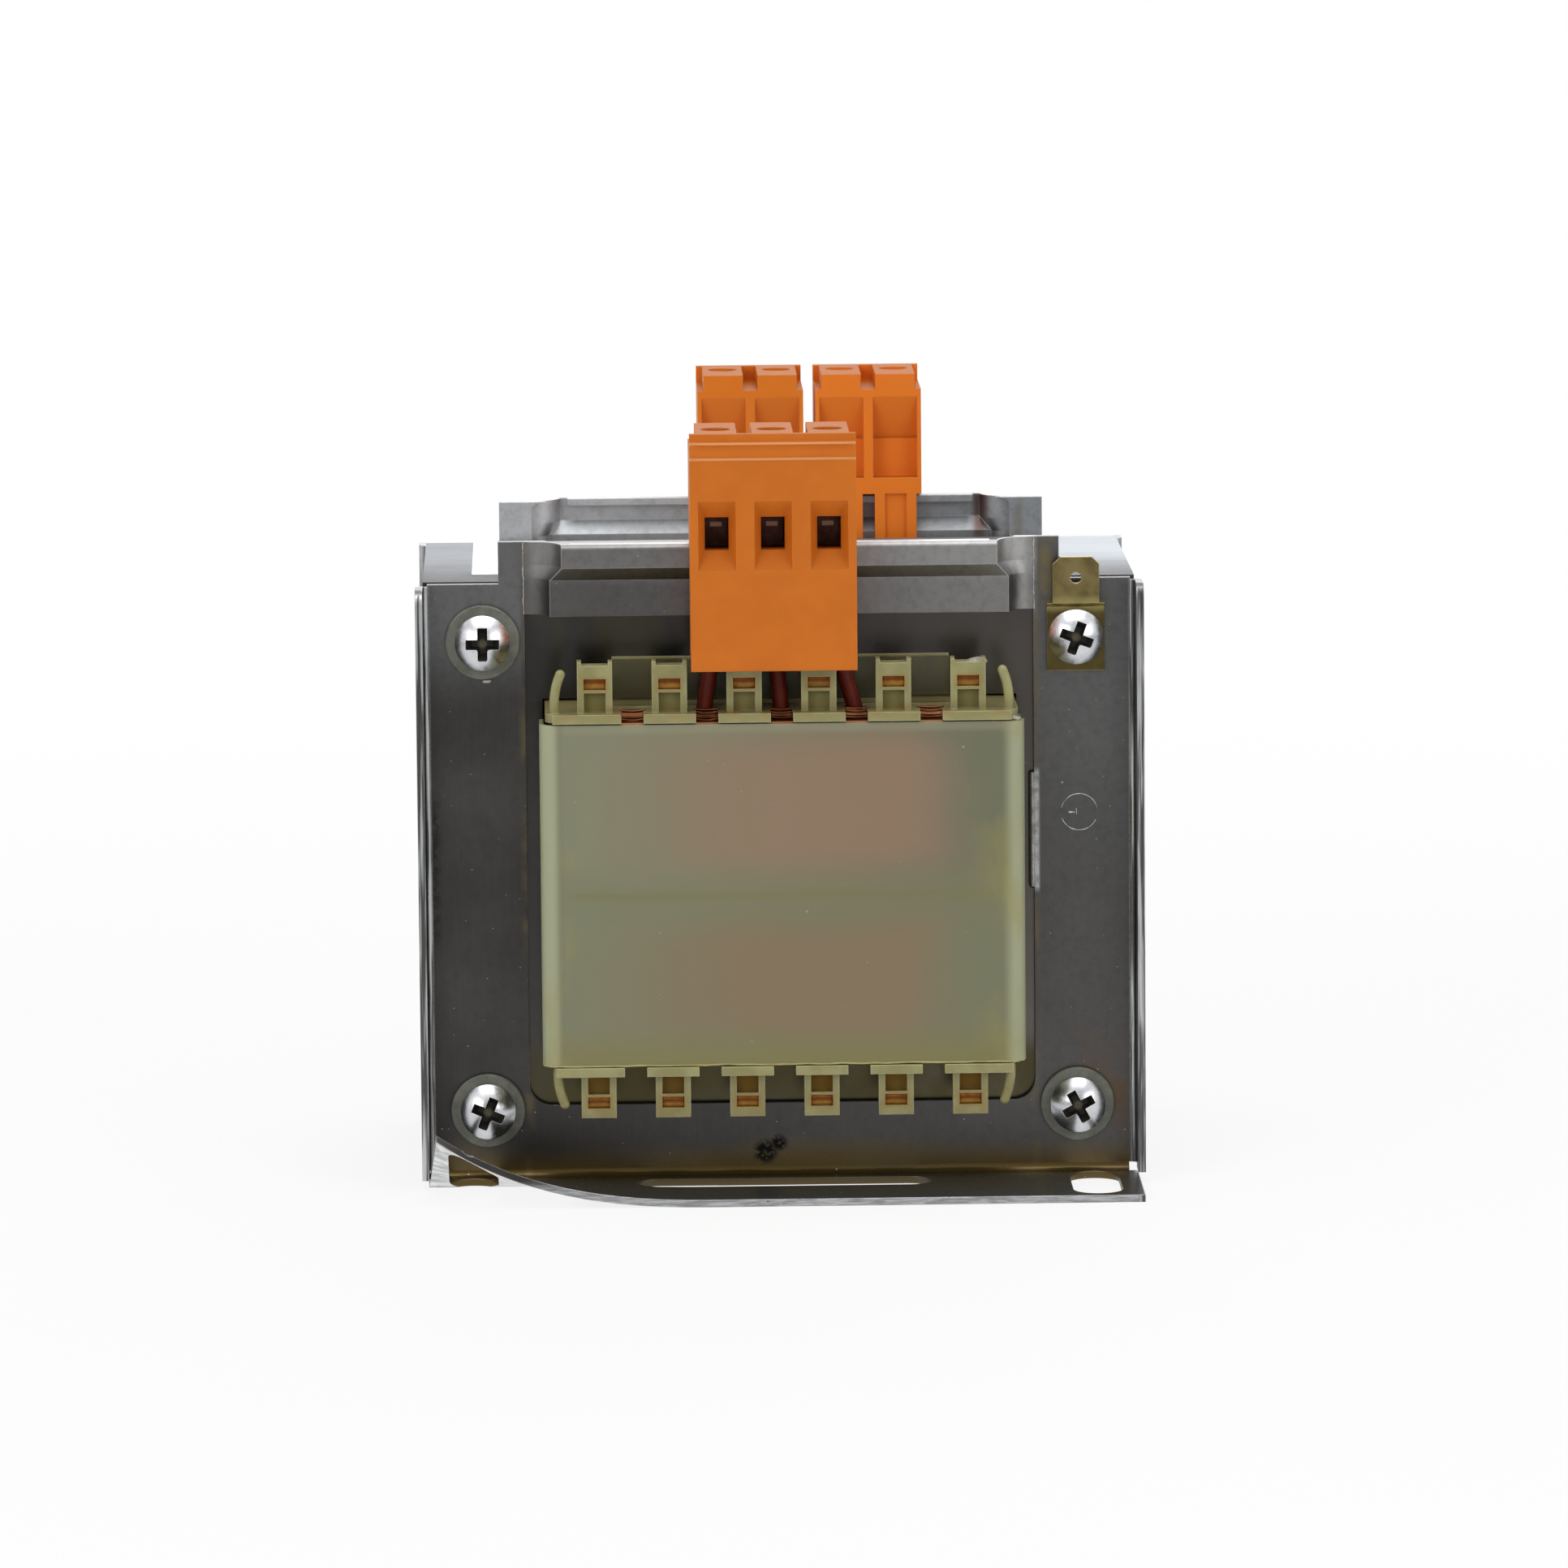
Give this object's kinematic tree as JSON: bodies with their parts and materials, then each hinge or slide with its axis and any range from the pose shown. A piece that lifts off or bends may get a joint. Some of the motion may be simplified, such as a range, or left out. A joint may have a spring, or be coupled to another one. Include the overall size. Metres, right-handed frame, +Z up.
{
  "type": "control transformer",
  "caption": "Open-frame control transformer: laminated core in slotted steel foot brackets, winding under a translucent cover, rising-cage terminal blocks on a raised bridge.",
  "frame": {"origin": "on the mounting plane, below the middle of the core", "axes": "+Z up, +X to the right seen from the three-pole side, -Y towards that side"},
  "size_m": [0.098, 0.0878, 0.105],
  "materials": {
    "lamination": "rolled sheet stack, satin",
    "sheet_steel": "varnished dark steel sheet",
    "bobbin_plastic": "milky moulded nylon",
    "copper": "enamelled copper wire",
    "cover_film": "translucent yellow-green film",
    "orange_plastic": "moulded orange plastic",
    "zinc_steel": "bright zinc plated steel",
    "clamp_steel": "passivated steel",
    "brass": "rolled brass",
    "lead_sleeve": "dark red-brown sleeve",
    "washer_plastic": "translucent grey plastic",
    "label_film": "plain white film"
  },
  "bodies": {
    "transformer": {"e_core_stack": "lamination", "i_core_stack": "lamination", "front_bracket": "sheet_steel", "rear_bracket": "sheet_steel", "bobbin": "bobbin_plastic", "primary_winding": "copper", "secondary_winding": "copper", "front_winding_cover": "cover_film", "rear_winding_cover": "cover_film", "front_terminal_block": "orange_plastic", "rear_left_terminal_block": "orange_plastic", "rear_right_terminal_block": "orange_plastic", "contact_bar_front_1": "brass", "lead_front_1": "lead_sleeve", "contact_bar_front_2": "brass", "lead_front_2": "lead_sleeve", "contact_bar_front_3": "brass", "lead_front_3": "lead_sleeve", "contact_bar_rear_1": "brass", "lead_rear_1": "lead_sleeve", "contact_bar_rear_2": "brass", "lead_rear_2": "lead_sleeve", "contact_bar_rear_3": "brass", "lead_rear_3": "lead_sleeve", "contact_bar_rear_4": "brass", "lead_rear_4": "lead_sleeve", "frame_screw_top_left": "zinc_steel", "frame_screw_top_right": "zinc_steel", "frame_screw_bottom_left": "zinc_steel", "frame_screw_bottom_right": "zinc_steel", "frame_nuts": "zinc_steel", "front_insulating_washers": "washer_plastic", "rear_insulating_washers": "washer_plastic", "earth_tab": "brass", "blank_label": "label_film"},
    "screw_front_1": {"clamp_screw_front_1": "zinc_steel"},
    "cage_front_1": {"clamp_cage_front_1": "clamp_steel"},
    "screw_front_2": {"clamp_screw_front_2": "zinc_steel"},
    "cage_front_2": {"clamp_cage_front_2": "clamp_steel"},
    "screw_front_3": {"clamp_screw_front_3": "zinc_steel"},
    "cage_front_3": {"clamp_cage_front_3": "clamp_steel"},
    "screw_rear_1": {"clamp_screw_rear_1": "zinc_steel"},
    "cage_rear_1": {"clamp_cage_rear_1": "clamp_steel"},
    "screw_rear_2": {"clamp_screw_rear_2": "zinc_steel"},
    "cage_rear_2": {"clamp_cage_rear_2": "clamp_steel"},
    "screw_rear_3": {"clamp_screw_rear_3": "zinc_steel"},
    "cage_rear_3": {"clamp_cage_rear_3": "clamp_steel"},
    "screw_rear_4": {"clamp_screw_rear_4": "zinc_steel"},
    "cage_rear_4": {"clamp_cage_rear_4": "clamp_steel"}
  },
  "joints": [
    {"name": "turn_screw_front_1", "type": "hinge", "parent": "transformer", "child": "screw_front_1", "pos_m": [-0.0085, -0.03297, 0.0996], "axis": [0, 0, -1], "range_deg": [0, 2592]},
    {"name": "lift_cage_front_1", "type": "slide", "parent": "transformer", "child": "cage_front_1", "axis": [0, 0, 1], "range_m": [0, 0.0036]},
    {"name": "turn_screw_front_2", "type": "hinge", "parent": "transformer", "child": "screw_front_2", "pos_m": [-0.001, -0.03297, 0.0996], "axis": [0, 0, -1], "range_deg": [0, 2592]},
    {"name": "lift_cage_front_2", "type": "slide", "parent": "transformer", "child": "cage_front_2", "axis": [0, 0, 1], "range_m": [0, 0.0036]},
    {"name": "turn_screw_front_3", "type": "hinge", "parent": "transformer", "child": "screw_front_3", "pos_m": [0.0065, -0.03297, 0.0996], "axis": [0, 0, -1], "range_deg": [0, 2592]},
    {"name": "lift_cage_front_3", "type": "slide", "parent": "transformer", "child": "cage_front_3", "axis": [0, 0, 1], "range_m": [0, 0.0036]},
    {"name": "turn_screw_rear_1", "type": "hinge", "parent": "transformer", "child": "screw_rear_1", "pos_m": [-0.0064, 0.03297, 0.10095], "axis": [0, 0, -1], "range_deg": [0, 2592]},
    {"name": "lift_cage_rear_1", "type": "slide", "parent": "transformer", "child": "cage_rear_1", "axis": [0, 0, 1], "range_m": [0, 0.0036]},
    {"name": "turn_screw_rear_2", "type": "hinge", "parent": "transformer", "child": "screw_rear_2", "pos_m": [0.0011, 0.03297, 0.10095], "axis": [0, 0, -1], "range_deg": [0, 2592]},
    {"name": "lift_cage_rear_2", "type": "slide", "parent": "transformer", "child": "cage_rear_2", "axis": [0, 0, 1], "range_m": [0, 0.0036]},
    {"name": "turn_screw_rear_3", "type": "hinge", "parent": "transformer", "child": "screw_rear_3", "pos_m": [0.01, 0.03297, 0.10095], "axis": [0, 0, -1], "range_deg": [0, 2592]},
    {"name": "lift_cage_rear_3", "type": "slide", "parent": "transformer", "child": "cage_rear_3", "axis": [0, 0, 1], "range_m": [0, 0.0036]},
    {"name": "turn_screw_rear_4", "type": "hinge", "parent": "transformer", "child": "screw_rear_4", "pos_m": [0.0175, 0.03297, 0.10095], "axis": [0, 0, -1], "range_deg": [0, 2592]},
    {"name": "lift_cage_rear_4", "type": "slide", "parent": "transformer", "child": "cage_rear_4", "axis": [0, 0, 1], "range_m": [0, 0.0036]}
  ],
  "couplings": [
    {"joint": "turn_screw_front_1", "follows": "lift_cage_front_1", "rad_per_m": 12566},
    {"joint": "turn_screw_front_2", "follows": "lift_cage_front_2", "rad_per_m": 12566},
    {"joint": "turn_screw_front_3", "follows": "lift_cage_front_3", "rad_per_m": 12566},
    {"joint": "turn_screw_rear_1", "follows": "lift_cage_rear_1", "rad_per_m": 12566},
    {"joint": "turn_screw_rear_2", "follows": "lift_cage_rear_2", "rad_per_m": 12566},
    {"joint": "turn_screw_rear_3", "follows": "lift_cage_rear_3", "rad_per_m": 12566},
    {"joint": "turn_screw_rear_4", "follows": "lift_cage_rear_4", "rad_per_m": 12566}
  ]
}
